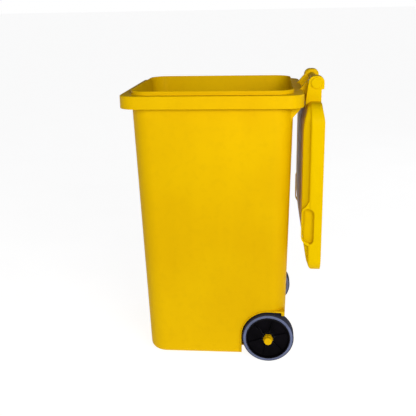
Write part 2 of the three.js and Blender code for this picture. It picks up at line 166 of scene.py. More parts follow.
def mixed(tree, factor, first, second, blend="MIX"):
    made = tree.nodes.new("ShaderNodeMix")
    made.data_type = "RGBA"
    made.blend_type = blend
    for socket, value in ((made.inputs[0], factor), (made.inputs[6], first), (made.inputs[7], second)):
        if isinstance(value, bpy.types.NodeSocket):
            tree.links.new(value, socket)
        else:
            socket.default_value = value
    return made.outputs[2]


def mapped(tree, value, from_low, from_high, to_low, to_high):
    """A value moved from one range to another, and held at its ends."""
    made = node(
        tree, "ShaderNodeMapRange", Value=value,
        From_Min=from_low, From_Max=from_high, To_Min=to_low, To_Max=to_high,
    )
    return made.outputs["Result"]


print("view transform:", bpy.context.scene.view_settings.view_transform)

# %% [markdown]
# The room is dim overhead and to both sides, with a white horizon beyond the sweep. So the broad side that
# faces the lamps carries the colour, and the round corners fall away into shade, which is what shows that
# they are round. A world shader can say this with two ramps over the direction of a ray: one along X, for
# the paler wall on the side of the lamps, and one up Z, for the horizon.

# %% Room
def room_light():
    world = bpy.data.worlds.new("studio_room")
    world.use_nodes = True
    tree = world.node_tree
    tree.nodes.clear()
    place = node(tree, "ShaderNodeTexCoord").outputs["Generated"]
    axes = node(tree, "ShaderNodeSeparateXYZ", Vector=place).outputs
    dim = (0.10, 0.10, 0.11, 1)
    paler_wall = (0.50, 0.50, 0.50, 1)
    walls = ramp(tree, axes["X"], dim, paler_wall, 0.2, 0.9)
    above_horizon = mapped(tree, axes["Z"], 0.02, 0.08, 0.0, 1.0)
    room = mixed(tree, above_horizon, (1.0, 1.0, 1.0, 1), walls)
    sky = node(tree, "ShaderNodeBackground", Color=room, Strength=1.0)
    out = tree.nodes.new("ShaderNodeOutputWorld")
    tree.links.new(sky.outputs["Background"], out.inputs["Surface"])
    bpy.context.scene.world = world


room_light()
print("world:", bpy.context.scene.world.name)

# %% [markdown]
# The sweep is lit from below as well as from above, like the glowing table of a product studio, so it stays
# white round the container. Its glow fades on the lamps' side, nearer to them than the container stands. A
# floor that glowed there too would light the tub's side from below and leave the mouth, which no floor
# light reaches, looking dark beside it.

# %% Floor
FLOOR_SIZE = 400
FADE_START = 0.68
FADE_END = 1.8


def pale_floor():
    mesh = bmesh.new()
    bmesh.ops.create_grid(mesh, x_segments=8, y_segments=8, size=FLOOR_SIZE)
    data = bpy.data.meshes.new("floor")
    mesh.to_mesh(data)
    mesh.free()
    floor = bpy.data.objects.new("floor", data)
    bpy.context.scene.collection.objects.link(floor)
    material = bpy.data.materials.new("pale_floor")
    material.use_nodes = True
    tree = material.node_tree
    shader = tree.nodes["Principled BSDF"]
    place = node(tree, "ShaderNodeTexCoord").outputs["Object"]
    mottle = node(tree, "ShaderNodeTexNoise", Vector=place, Scale=3.0, Detail=2.0).outputs["Fac"]
    colour = ramp(tree, mottle, (0.26, 0.26, 0.26, 1), (0.29, 0.29, 0.29, 1), 0.3, 0.7)
    toward_lamps = node(tree, "ShaderNodeSeparateXYZ", Vector=place).outputs["X"]
    glow = mapped(tree, toward_lamps, FADE_START, FADE_END, 0.90, 0.38)
    tree.links.new(colour, shader.inputs["Base Color"])
    shader.inputs["Roughness"].default_value = 0.9
    shader.inputs["Specular IOR Level"].default_value = 0.1
    shader.inputs["Emission Color"].default_value = (1, 1, 1, 1)
    tree.links.new(glow, shader.inputs["Emission Strength"])
    floor.data.materials.append(material)


pale_floor()
print(f"the sweep fades between {FADE_START} and {FADE_END} m on the lamps' side")

# %% [markdown]
# Three broad lamps do most of the work: a key from the rear right, a weak fill from the front right, and a
# little light from behind to lift the back. A spot with a wide soft edge is aimed at the mouth, so that
# the far wall and the lip are nearly as bright as the tub's side. Each lamp is turned with a quaternion
# that points its own -Z axis at what it lights.

# %% Lamps
def stand_lamp(data, place, aim, power):
    data.energy = power
    lamp = bpy.data.objects.new(data.name, data)
    lamp.location = place
    lamp.rotation_mode = "QUATERNION"
    lamp.rotation_quaternion = (Vector(aim) - Vector(place)).to_track_quat("-Z", "Y")
    bpy.context.scene.collection.objects.link(lamp)


def soft_lamp(name, place, aim, size, power):
    data = bpy.data.lights.new(name, "AREA")
    data.shape = "SQUARE"
    data.size = size
    stand_lamp(data, place, aim, power)


def spot_lamp(name, place, aim, cone_degrees, power):
    data = bpy.data.lights.new(name, "SPOT")
    data.spot_size = math.radians(cone_degrees)
    data.spot_blend = 1.0
    data.shadow_soft_size = 0.3
    stand_lamp(data, place, aim, power)


spot_lamp("mouth_lamp", (2.9, -0.2, 1.7), (0, 0.1, 1.0), 22, 68)
soft_lamp("key_lamp", (3.4, 1.5, 2.0), (0, 0, 0.7), 1.6, 86)
soft_lamp("fill_lamp", (3.3, -1.2, 1.9), (0, 0, 0.6), 2.0, 13)
soft_lamp("rear_lamp", (-2.2, 3.0, 2.2), (0, 0, 0.6), 2.0, 14)
print("lamps:", sorted(lamp.name for lamp in bpy.data.lights))

# %% [markdown]
# ## The workshop: from outlines to solids
#
# Three ways of shaping cover the whole container. A *loft* joins a stack of closed outlines, and suits the
# tub, the rim and the lid. A *prism* gives a flat outline a thickness, and suits webs, ribs and arms.
# A *turning* spins a profile round an axle, and suits tyres, hubs, pins and bushes.
# Moulded parts have no sharp edges. So corners are rounded while the outline is still flat, where it is
# easy, and not with a bevel at the end, where cut faces make it fragile.

# %% Outlines
def filleted(corners, radius, steps=6, closed=True):
    """Corner points (a, b) or (a, b, own radius), with each corner turned into an arc."""
    points = []
    last = len(corners) - 1
    for i, corner in enumerate(corners):
        here = Vector(corner[:2])
        size = corner[2] if len(corner) > 2 else radius
        if size == 0 or (not closed and i in (0, last)):
            points.append(here)
            continue
        before = Vector(corners[i - 1][:2]) - here
        after = Vector(corners[(i + 1) % len(corners)][:2]) - here
        half = before.angle(after) / 2
        if half > math.radians(89):
            points.append(here)
            continue
        reach = min(size / math.tan(half), before.length * 0.49, after.length * 0.49)
        size = reach * math.tan(half)
        bisector = (before.normalized() + after.normalized()).normalized()
        centre = here + bisector * (size / math.sin(half))
        start = here + before.normalized() * reach - centre
        end = here + after.normalized() * reach - centre
        sweep = math.pi - 2 * half
        for k in range(steps + 1):
            t = k / steps
            first = math.sin((1 - t) * sweep) / math.sin(sweep)
            second = math.sin(t * sweep) / math.sin(sweep)
            points.append(centre + start * first + end * second)
    return points


def grown(outline, amount):
    """A closed outline moved outwards, each point along the middle of its two edges."""
    count = len(outline)
    area = sum(outline[i - 1].cross(outline[i]) for i in range(count))
    side = 1 if area > 0 else -1
    moved = []
    for i, here in enumerate(outline):
        into = (here - outline[i - 1]).normalized()
        away = (outline[(i + 1) % count] - here).normalized()
        normal_in = Vector((into.y, -into.x))
        normal_out = Vector((away.y, -away.x))
        middle = (normal_in + normal_out).normalized()
        moved.append(here + middle * (side * amount / max(0.4, middle.dot(normal_in))))
    return moved


def rounded_rectangle(x0, x1, y0, y1, radius, corner_steps=12, x_steps=10, y_steps=26):
    """Points round a rectangle with round corners. Its number of points never depends on its size."""
    radius = min(radius, 0.49 * (x1 - x0), 0.49 * (y1 - y0))
    centres = [
        (x1 - radius, y0 + radius, -90, y_steps), (x1 - radius, y1 - radius, 0, x_steps),
        (x0 + radius, y1 - radius, 90, y_steps), (x0 + radius, y0 + radius, 180, x_steps),
    ]
    corners = []
    for cx, cy, start, _ in centres:
        angles = [math.radians(start + 90 * k / corner_steps) for k in range(corner_steps + 1)]
        corners.append([Vector((cx + radius * math.cos(a), cy + radius * math.sin(a))) for a in angles])
    points = []
    for i, corner in enumerate(corners):
        following = corners[(i + 1) % 4][0]
        points += corner
        side_steps = centres[i][3]
        points += [corner[-1].lerp(following, k / side_steps) for k in range(1, side_steps)]
    return points


print("a rounded rectangle has", len(rounded_rectangle(-1, 1, -1, 1, 0.2)), "points")

# %% [markdown]
# All three ways of shaping come down to one: closed rings of points, joined in order. So the loft is the
# only function here that makes faces, and the prism and the turning only work out rings for it. A prism
# takes its rounded edges from a quarter circle, shrinking the outline a little at each of its first steps.

# %% Lofts, prisms and turnings
EDGE_STEPS = 4


def as_object(name, mesh):
    """Turns a mesh drawn in millimetres into an object in metres, with its faces looking out."""
    bmesh.ops.recalc_face_normals(mesh, faces=mesh.faces)
    bmesh.ops.scale(mesh, vec=(MM, MM, MM), verts=mesh.verts)
    data = bpy.data.meshes.new(name)
    mesh.to_mesh(data)
    mesh.free()
    made = bpy.data.objects.new(name, data)
    bpy.context.scene.collection.objects.link(made)
    return made


def loft(name, rings, joined=False):
    """Joins closed rings of points in order. The two ends are capped, or joined to each other."""
    mesh = bmesh.new()
    loops = [[mesh.verts.new(point) for point in ring] for ring in rings]
    pairs = list(zip(loops, loops[1:]))
    if joined:
        pairs.append((loops[-1], loops[0]))
    for lower, upper in pairs:
        for i in range(len(lower)):
            j = (i + 1) % len(lower)
            mesh.faces.new((lower[i], lower[j], upper[j], upper[i]))
    if not joined:
        mesh.faces.new(loops[0][::-1])
        mesh.faces.new(loops[-1])
    return as_object(name, mesh)


def quarter(radius, steps=EDGE_STEPS):
    """(along, inward) offsets of a rounded edge, from its end face to its side."""
    angles = [math.pi / 2 * (1 - k / steps) for k in range(steps + 1)]
    return [(radius * (1 - math.sin(a)), radius * (1 - math.cos(a))) for a in angles]


def prism(name, outline, x0, x1, soft=0.0, reach=0.0):
    """A flat (y, z) outline given thickness along X. Its edges are rounded by soft.
    With a reach it is a cutter: its mouth flares by soft, so the edge that it leaves is rounded."""
    sign = -1 if reach else 1
    rounding = quarter(soft) if soft else [(0, 0)]
    sections = [(x0 + along, -sign * inward) for along, inward in rounding]
    sections += [(x1 - along, -sign * inward) for along, inward in reversed(rounding)]
    if reach:
        sections = [(x0 - reach, soft)] + sections + [(x1 + reach, soft)]
    return loft(name, [[(x, p.x, p.y) for p in grown(outline, amount)] for x, amount in sections])


def box(name, x0, x1, y0, y1, z0, z1, soft=0.0):
    corners = [Vector((y0, z0)), Vector((y1, z0)), Vector((y1, z1)), Vector((y0, z1))]
    outline = filleted(corners, soft, EDGE_STEPS) if soft else corners
    return prism(name, outline, x0, x1, soft)


def turning(name, profile, centre_y, centre_z, steps=96, ring=False):
    """Spins (x, radius) points about an X-wise axle. A ring profile closes on itself."""
    rings = []
    for x, radius in profile:
        angles = [2 * math.pi * k / steps for k in range(steps)]
        rings.append([
            (x, centre_y + radius * math.cos(a), centre_z + radius * math.sin(a)) for a in angles
        ])
    return loft(name, rings, joined=ring)


print("edge rounding has", EDGE_STEPS, "steps")

# %% [markdown]
# Real mouldings are one skin, however many shapes went into the mould. Booleans weld the solids into one
# closed mesh, and cut its hollows. After that the mesh is shaded smooth everywhere, apart from edges
# sharper than about 35 degrees, and weighted normals keep its broad faces flat beside the small roundings.

# %% Welding, cutting and shading
SMOOTH_LIMIT = math.radians(35)


def combine(base, operation, others):
    """Joins or cuts solids with Blender's manifold solver and returns base with the result as its mesh."""
    for other in others:
        modifier = base.modifiers.new(other.name, "BOOLEAN")
        modifier.solver = "MANIFOLD"
        modifier.operation = operation
        modifier.object = other
    bpy.context.view_layer.update()
    depsgraph = bpy.context.evaluated_depsgraph_get()
    result = bpy.data.meshes.new_from_object(base.evaluated_get(depsgraph))
    base.modifiers.clear()
    base.data = result
    for other in others:
        bpy.data.objects.remove(other)
    return base


def weld(base, *others):
    return combine(base, "UNION", others)


def cut(base, *others):
    return combine(base, "DIFFERENCE", others)


def mirrored(source):
    """The same solid for the container's other side."""
    data = source.data.copy()
    data.transform(Matrix.Scale(-1, 4, (1, 0, 0)))
    data.flip_normals()
    made = bpy.data.objects.new(source.name + "_left", data)
    bpy.context.scene.collection.objects.link(made)
    return made


def both(source):
    return source, mirrored(source)


def open_edges(piece):
    mesh = bmesh.new()
    mesh.from_mesh(piece.data)
    count = sum(1 for edge in mesh.edges if len(edge.link_faces) != 2)
    mesh.free()
    return count


def finish_mesh(piece):
    """Cleans tiny leftovers of the cutting and sets the shading."""
    mesh = bmesh.new()
    mesh.from_mesh(piece.data)
    bmesh.ops.remove_doubles(mesh, verts=mesh.verts, dist=0.02 * MM)
    bmesh.ops.dissolve_degenerate(mesh, edges=mesh.edges, dist=0.01 * MM)
    mesh.to_mesh(piece.data)
    mesh.free()
    piece.data.shade_smooth()
    piece.data.set_sharp_from_angle(angle=SMOOTH_LIMIT)
    weighted = piece.modifiers.new("even_shading", "WEIGHTED_NORMAL")
    weighted.keep_sharp = True
    print(f"{piece.name}: {len(piece.data.polygons)} faces, {open_edges(piece)} open edges")
    return piece


# %% [markdown]
# ## Finishes
#
# The container and its lid are injection-moulded polyethylene in signal yellow. Seen close, such a surface
# is never one colour: the pigment drifts slowly from deep to light, faint flow lines run the way that the
# melt ran, and the mould's spark-eroded grain breaks the gloss. Edges that knock against things go paler
# and duller. Each of those is a layer of noise at its own scale, fed to colour, roughness and bump.

# %% Layers that every finish uses
def new_material(name):
    material = bpy.data.materials.new(name)
    material.use_nodes = True
    tree = material.node_tree
    return material, tree, tree.nodes["Principled BSDF"]


def noise(tree, place, scale, detail=2.0, stretch=(1, 1, 1)):
    """Noise in the object's own space; scale is in waves a metre, and stretch makes it run one way."""
    if stretch != (1, 1, 1):
        place = node(tree, "ShaderNodeMapping", Vector=place, Scale=stretch).outputs["Vector"]
    return node(tree, "ShaderNodeTexNoise", Vector=place, Scale=scale, Detail=detail).outputs["Fac"]


def layered_bump(tree, layers):
    """Stacks bumps, each given as (height socket, strength, distance in millimetres)."""
    normal = None
    for height, strength, distance in layers:
        inputs = {"Height": height, "Strength": strength, "Distance": distance * MM}
        if normal is not None:
            inputs["Normal"] = normal
        normal = node(tree, "ShaderNodeBump", **inputs).outputs["Normal"]
    return normal


print("noise scales are in waves a metre, and bump heights in millimetres")

# %% [markdown]
# The yellow itself takes seven layers. Drift, streaks and clouds change the colour, from a forearm's
# length down to a thumb's width. Edge wear uses the pointiness of the mesh, so it finds the corners on
# its own. Clouds and scratches change the roughness, and ripple, scratches and grain stack up as bumps.
# The lid is smoother than the tub, and its yellow is a lighter copy of the tub's: painted light, for the
# brighter light on the lid.

# %% Yellow moulded plastic
WORN_YELLOW = (0.80, 0.56, 0.03, 1)


def yellow_polyethylene(name, light, deep, flow, roughness_level, shine):
    """light and deep are the two ends of the pigment's drift; flow is the direction of the flow lines."""
    material, tree, shader = new_material(name)
    place = node(tree, "ShaderNodeTexCoord").outputs["Object"]
    drift = noise(tree, place, 3.2, 3.0)
    streaks = noise(tree, place, 9.0, 4.0, flow)
    clouds = noise(tree, place, 38.0, 3.0)
    grain = noise(tree, place, 1400.0, 2.0)
    ripple = noise(tree, place, 9.0, 1.0)
    scratches = noise(tree, place, 60.0, 6.0, (1.0, 9.0, 1.0))
    colour = ramp(tree, drift, deep, light, 0.36, 0.64)
    pale = tuple(min(1.0, c * 1.07) for c in light[:3]) + (1,)
    colour = mixed(tree, mapped(tree, streaks, 0.48, 0.72, 0.0, 0.35), colour, pale)
    dull = tuple(c * 0.93 for c in deep[:3]) + (1,)
    colour = mixed(tree, mapped(tree, clouds, 0.5, 0.75, 0.0, 0.3), colour, dull)
    edges = node(tree, "ShaderNodeNewGeometry").outputs["Pointiness"]
    worn = mapped(tree, edges, 0.53, 0.62, 0.0, 0.3)
    colour = mixed(tree, worn, colour, WORN_YELLOW)
    tree.links.new(colour, shader.inputs["Base Color"])
    scuffed = mapped(tree, scratches, 0.60, 0.74, 0.0, 0.16)
    cloudy = mapped(tree, clouds, 0.3, 0.7, roughness_level - 0.05, roughness_level + 0.07)
    roughness = node(tree, "ShaderNodeMath", {"operation": "ADD"})
    tree.links.new(cloudy, roughness.inputs[0])
    tree.links.new(scuffed, roughness.inputs[1])
    tree.links.new(roughness.outputs[0], shader.inputs["Roughness"])
    normal = layered_bump(tree, [(ripple, 0.35, 1.2), (scratches, 0.05, 0.15), (grain, 0.12, 0.08)])
    tree.links.new(normal, shader.inputs["Normal"])
    shader.inputs["IOR"].default_value = 1.46
    shader.inputs["Specular IOR Level"].default_value = shine
    return material


UP_AND_DOWN = (1.0, 1.0, 0.10)
container_finish = yellow_polyethylene(
    "container_yellow", (0.70, 0.425, 0.0, 1), (0.66, 0.385, 0.0, 1), UP_AND_DOWN, 0.40, 0.03)
# The lid's lighter yellow is painted light: the tub's plastic made lighter for the brighter light on the
# lid.
lid_finish = yellow_polyethylene(
    "lid_yellow", (0.73, 0.475, 0.0, 1), (0.70, 0.44, 0.0, 1), UP_AND_DOWN, 0.34, 0.012)
cap_finish = yellow_polyethylene(
    "cap_yellow", (0.68, 0.41, 0.0, 1), (0.62, 0.36, 0.0, 1), (1.0, 1.0, 1.0), 0.38, 0.03)
print("yellow finishes:", container_finish.name, lid_finish.name, cap_finish.name)

# %% [markdown]
# The tyres are solid rubber in a blue grey, which marks less than black. The side keeps that colour, and
# the tread and shoulder are painted nearly black: painted shade for the faces that turn away from the
# lamps. The painted shade goes by the distance from the axle, so it follows the tyre round.

# %% Tyre rubber
TREAD_STARTS = 91.2
TREAD_FULL = 93.0
# Painted shade colour for the tread and shoulder.
TREAD_SHADE_BLACK = (0.010, 0.010, 0.020, 1)


def distance_from_axle(tree, place):
    """Distance in metres from the wheels' axis, which runs along X."""
    flat = node(tree, "ShaderNodeVectorMath", {"operation": "MULTIPLY"})
    tree.links.new(place, flat.inputs[0])
    flat.inputs[1].default_value = (0, 1, 1)
    radius = node(tree, "ShaderNodeVectorMath", {"operation": "DISTANCE"})
    tree.links.new(flat.outputs["Vector"], radius.inputs[0])
    radius.inputs[1].default_value = (0, wheel.y * MM, wheel.z * MM)
    return radius.outputs["Value"]


def grey_rubber(name):
    material, tree, shader = new_material(name)
    place = node(tree, "ShaderNodeTexCoord").outputs["Object"]
    bloom = noise(tree, place, 14.0, 4.0)
    specks = noise(tree, place, 420.0, 2.0)
    grain = noise(tree, place, 900.0, 3.0)
    colour = ramp(tree, bloom, (0.090, 0.105, 0.180, 1), (0.135, 0.160, 0.275, 1), 0.35, 0.65)
    dust = mapped(tree, specks, 0.58, 0.75, 0.0, 0.25)
    colour = mixed(tree, dust, colour, (0.32, 0.32, 0.36, 1))
    from_axle = distance_from_axle(tree, place)
    # Painted shade: the tread and shoulder are darkened towards black, for the faces turned away from the
    # lamps.
    tread = mapped(tree, from_axle, TREAD_STARTS * MM, TREAD_FULL * MM, 0.0, 0.92)
    colour = mixed(tree, tread, colour, TREAD_SHADE_BLACK)
    tree.links.new(colour, shader.inputs["Base Color"])
    tree.links.new(mapped(tree, bloom, 0.3, 0.7, 0.62, 0.82), shader.inputs["Roughness"])
    tree.links.new(layered_bump(tree, [(bloom, 0.2, 0.6), (grain, 0.35, 0.12)]), shader.inputs["Normal"])
    shader.inputs["Specular IOR Level"].default_value = 0.2
    return material


tyre_finish = grey_rubber("tyre_blue_grey")
print("tyre finish:", tyre_finish.name)

# %% [markdown]
# The wheel centres are black plastic with a fine matt grain, painted paler on their pointy edges: edge wear
# made strong enough to be a painted highlight along the ribs. The bushes are uncoloured nylon, a warm white.

# %% Black plastic and nylon
def black_plastic(name):
    material, tree, shader = new_material(name)
    place = node(tree, "ShaderNodeTexCoord").outputs["Object"]
    clouds = noise(tree, place, 25.0, 3.0)
    grain = noise(tree, place, 1100.0, 2.0)
    colour = ramp(tree, clouds, (0.0010, 0.0008, 0.0014, 1), (0.0028, 0.0022, 0.0038, 1), 0.35, 0.7)
    # Paler on pointy edges: partly edge wear, strengthened into a painted highlight along the rib edges.
    edges = node(tree, "ShaderNodeNewGeometry").outputs["Pointiness"]
    colour = mixed(tree, mapped(tree, edges, 0.51, 0.56, 0.0, 0.8), colour, (0.05, 0.048, 0.056, 1))
    tree.links.new(colour, shader.inputs["Base Color"])
    tree.links.new(mapped(tree, clouds, 0.3, 0.7, 0.46, 0.60), shader.inputs["Roughness"])
    tree.links.new(layered_bump(tree, [(grain, 0.25, 0.1)]), shader.inputs["Normal"])
    shader.inputs["Specular IOR Level"].default_value = 0.03
    return material


def natural_nylon(name):
    material, tree, shader = new_material(name)
    place = node(tree, "ShaderNodeTexCoord").outputs["Object"]
    clouds = noise(tree, place, 60.0, 3.0)
    grain = noise(tree, place, 900.0, 2.0)
    colour = ramp(tree, clouds, (0.62, 0.60, 0.50, 1), (0.74, 0.72, 0.63, 1), 0.3, 0.7)
    tree.links.new(colour, shader.inputs["Base Color"])
    tree.links.new(mapped(tree, clouds, 0.3, 0.7, 0.4, 0.55), shader.inputs["Roughness"])
    tree.links.new(layered_bump(tree, [(grain, 0.15, 0.08)]), shader.inputs["Normal"])
    return material


hub_finish = black_plastic("hub_black")
bush_finish = natural_nylon("bush_nylon")
print("wheel centre and bush finishes:", hub_finish.name, bush_finish.name)

# %% [markdown]
# The axle is zinc-plated bar, and the push-on nuts are darker spring steel. Metal shows its making in its
# reflections. So the bump is stretched round the bar, as turning marks run, the same marks change the
# roughness, and the plating's colour drifts slightly.

# %% Steel
def plated_steel(name, light, deep, stretch):
    material, tree, shader = new_material(name)
    place = node(tree, "ShaderNodeTexCoord").outputs["Object"]
    plating = noise(tree, place, 35.0, 4.0)
    marks = noise(tree, place, 160.0, 3.0, stretch)
    colour = ramp(tree, plating, deep, light, 0.35, 0.65)
    tree.links.new(colour, shader.inputs["Base Color"])
    tree.links.new(mapped(tree, marks, 0.3, 0.7, 0.24, 0.42), shader.inputs["Roughness"])
    tree.links.new(layered_bump(tree, [(marks, 0.3, 0.08)]), shader.inputs["Normal"])
    shader.inputs["Metallic"].default_value = 1.0
    return material


ROUND_THE_BAR = (14.0, 1.0, 1.0)
axle_finish = plated_steel(
    "axle_zinc", (0.66, 0.67, 0.70, 1), (0.50, 0.51, 0.53, 1), ROUND_THE_BAR)
nut_finish = plated_steel(
    "nut_spring_steel", (0.46, 0.46, 0.48, 1), (0.34, 0.34, 0.36, 1), ROUND_THE_BAR)
print("steel finishes:", axle_finish.name, nut_finish.name)

# %% [markdown]
# ## The tub
#
# The tub is a box that narrows towards its base, so that empty containers stack and leave the mould.
# It is lofted from rings of one plan shape: each ring has its own height and inset, and the taper moves
# the four walls by different amounts. The outer and the inner skins are two such solids. The inner one
# is cut out of the outer one at the very end, so that ribs and webs never poke through into the mouth.

# %% Tub rings
LIP_HEIGHT = 13.5
BASE_LEVEL = 15.0
WALL = 4.0
TUB_CORNER = 66.0
BASE_EDGE = 24.0
FLOOR_LEVEL = BASE_LEVEL + 5
LIP_TOP = rim_top + LIP_HEIGHT
LIP_ROUND = 1.7

# Where the tub's walls are, measured in from the rim, at the top and at the base.
tub_top = {"half": rim_half_width - 24, "front": rim_front + 35.4, "rear": rim_rear - 34.4}
tub_base = {"half": rim_half_width - 34, "front": rim_front + 68, "rear": rim_rear - 55.5}


def tub_ring(inset, z):
    drop = (rim_top - z) / (rim_top - BASE_LEVEL)
    half, front, rear = (tub_top[key] + drop * (tub_base[key] - tub_top[key]) for key in tub_top)
    plan = rounded_rectangle(inset - half, half - inset, front + inset, rear - inset, TUB_CORNER - inset)
    return [(p.x, p.y, z) for p in plan]


def heights(z0, z1, count):
    return [z0 + (z1 - z0) * k / count for k in range(1, count)]


def tub_outer():
    rings = [tub_ring(inset, BASE_LEVEL + along) for along, inset in quarter(BASE_EDGE, 10)]
    rings += [tub_ring(0, z) for z in heights(BASE_LEVEL + BASE_EDGE, LIP_TOP - LIP_ROUND, 24)]
    rings += [tub_ring(inset, LIP_TOP - along) for along, inset in reversed(quarter(LIP_ROUND))]
    return loft("tub_outer", rings)


def tub_hollow():
    edge = BASE_EDGE - WALL
    rings = [tub_ring(WALL + inset, FLOOR_LEVEL + along) for along, inset in quarter(edge, 10)]
    rings += [tub_ring(WALL, z) for z in heights(FLOOR_LEVEL + edge, LIP_TOP - LIP_ROUND, 24)]
    rings += [tub_ring(WALL - inset, LIP_TOP - along) for along, inset in reversed(quarter(LIP_ROUND))]
    rings.append(tub_ring(WALL - LIP_ROUND, LIP_TOP + 30))
    return loft("tub_hollow", rings)


print(f"tub is {2 * tub_top['half']:.0f} mm wide at the rim and {2 * tub_base['half']:.0f} mm at the base")

# %% [markdown]
# ## The rim
#
# Round the mouth runs a deep rim: a flat flange that turns down into a skirt. A lorry's lifting comb
# reaches up behind the skirt, so it is open below, with ribs across the channel that it makes.
# It is one block with its upper edge rounded, and a smaller block cut out from below.

# %% Rim, ribs and gussets
RIM_CORNER = 60.0
RIM_WALL = 3.5
RIM_DEPTH = 45.0
RIM_EDGE = 4.0
SKIRT_BOTTOM = rim_top - RIM_DEPTH


def rim_ring(inset, z):
    plan = rounded_rectangle(
        inset - rim_half_width, rim_half_width - inset,
        rim_front + inset, rim_rear - inset, RIM_CORNER - inset,
    )
    return [(p.x, p.y, z) for p in plan]


def rim_block():
    small = 1.4
    rings = [rim_ring(inset, SKIRT_BOTTOM + along) for along, inset in quarter(small)]
    rings += [rim_ring(0, z) for z in heights(SKIRT_BOTTOM + small, rim_top - RIM_EDGE, 4)]
    rings += [rim_ring(inset, rim_top - along) for along, inset in reversed(quarter(RIM_EDGE, 6))]
    return loft("rim_block", rings)


def rim_channel():
    small = 1.2
    fillet = 3.0
    ceiling = rim_top - WALL
    rings = [rim_ring(RIM_WALL - small, SKIRT_BOTTOM - 10)]
    rings += [rim_ring(RIM_WALL - inset, SKIRT_BOTTOM + along) for along, inset in quarter(small)]
    rings += [rim_ring(RIM_WALL, z) for z in heights(SKIRT_BOTTOM + small, ceiling - fillet, 3)]
    rings += [rim_ring(RIM_WALL + inset, ceiling - along) for along, inset in reversed(quarter(fillet))]
    return loft("rim_channel", rings)


print(f"rim is {2 * rim_half_width:.0f} by {rim_rear - rim_front:.0f} mm")

# %% [markdown]
# A skirt that hangs from one edge would flap, so thin ribs tie it to the tub across the channel. At the
# rear, where the porter's pull and the lid's weight come in, triangular gussets run down the wall instead.
# Both are plain prisms. Two of the gussets stand right under the hinge brackets, which come next.

# %% Gussets and ribs
GUSSET_PLACES = (-228, -111, -37, 37, 111, 228)
FRONT_RIB_PLACES = (-200, -120, -40, 40, 120, 200)
SIDE_RIB_PLACES = (-215, -95, 25, 145)
RIB_HALF = 1.75


def rear_gussets():
    rear = rim_rear - 1
    inside = tub_top["rear"] - 12
    corners = [
        (inside, rim_top - 1, 0), (rear, rim_top - 1, 0), (rear, SKIRT_BOTTOM + 5, 5),
        (rim_rear - 41, rim_top - 88, 14), (inside, rim_top - 118, 0),
    ]
    outline = filleted(corners, 2)
    return [prism(f"gusset_{i}", outline, x - 2, x + 2, 0.8) for i, x in enumerate(GUSSET_PLACES)]


def channel_ribs():
    ribs = []
    top = rim_top - 1
    front = rim_front + 1
    outer = rim_half_width - 1
    for i, x in enumerate(FRONT_RIB_PLACES):
        rib = box(f"front_rib_{i}", x - RIB_HALF, x + RIB_HALF, front, front + 51, SKIRT_BOTTOM + 3, top)
        ribs.append(rib)
    for i, y in enumerate(SIDE_RIB_PLACES):
        rib = box(f"side_rib_{i}", outer - 34, outer, y - RIB_HALF, y + RIB_HALF, SKIRT_BOTTOM + 15, top)
        ribs += both(rib)
    return ribs


print("ribs in the channel:", len(FRONT_RIB_PLACES) + 2 * len(SIDE_RIB_PLACES))

# %% [markdown]
# ## Hinge brackets and handle bar
#
# Two webs reach back from the rim and end in round eyes. Between them runs the handle bar that the porter
# pulls on, and a pin through each eye carries the lid. Web, eye and bar are moulded with the tub.

# %% Brackets and bar
EYE_RADIUS = 24.5
BAR_RADIUS = 14.0
PIN_RADIUS = 8.0
PIN_BORE = PIN_RADIUS + FIT
BRACKET_INNER = 104.0
BRACKET_OUTER = 118.0


def round_bar(name, radius, x0, x1, y, z, soft):
    profile = [(x0 + along, radius - inward) for along, inward in quarter(soft)]
    profile += [(x1 - along, radius - inward) for along, inward in reversed(quarter(soft))]
    return turning(name, profile, y, z)


def hinge_bracket():
    corners = [
        (rim_rear - 18, SKIRT_BOTTOM + 1, 0), (rim_rear - 1, SKIRT_BOTTOM + 1, 4),
        (hinge.y + 15, hinge.z - 19.4, 0), (hinge.y - 18.6, hinge.z + 16, 0),
        (rim_rear - 12, rim_top, 10), (rim_rear - 18, rim_top - 1, 0),
    ]
    web = prism("hinge_bracket", filleted(corners, 2), BRACKET_INNER, BRACKET_OUTER, 1.5)
    eye = round_bar("hinge_eye", EYE_RADIUS, BRACKET_INNER, BRACKET_OUTER, hinge.y, hinge.z, 2.0)
    return weld(web, eye)


def handle_bar():
    reach = BRACKET_INNER + 2
    return round_bar("handle_bar", BAR_RADIUS, -reach, reach, hinge.y, hinge.z, 0.5)


def pin_hole():
    return round_bar("pin_hole", PIN_BORE, BRACKET_INNER - 16, BRACKET_OUTER + 20, hinge.y, hinge.z, 0.5)


print("handle bar across", 2 * BRACKET_INNER, "mm")

# %% [markdown]
# ## Wheel arches, axle recess and foot
#
# Each wheel sits in an arch pressed into the rear corner of the tub. A narrow band edges the arch, because
# the tub's side leans in towards the base while the wheel stands upright. The arch's roof runs straight
# back, and the band ends there in a small tab, where the tub's round corner curves away from it.
# Behind, the base is notched for the axle, with upright plates that hold it. At the front a low foot
# keeps the container upright.

# %% Wheel arches
WHEEL_RADIUS = tyre_high.z - wheel.z
WHEEL_GAP = 4.0
WELL_INNER = tyre_low.x - 8
ARCH_FACE = tyre_low.x + 32
ARCH_BAND = 5.0
ARCH_ROOF_REAR = wheel.y + 49
TAB_LEVEL = wheel.z + 87
AXLE_RADIUS = 10.0
NOTCH_FRONT = wheel.y - 26
NOTCH_ROOF = wheel.z + 26


def arc_points(radius, from_degrees, to_degrees, steps=40):
    turn = to_degrees - from_degrees
    angles = [math.radians(from_degrees + turn * k / steps) for k in range(steps + 1)]
    return [Vector((wheel.y + radius * math.cos(a), wheel.z + radius * math.sin(a))) for a in angles]


def edge_ahead(radius):
    """The arch's front edge, from below the floor up to where the arc starts."""
    return [Vector((wheel.y - radius, z)) for z in (-20, 15, 45, 70)]


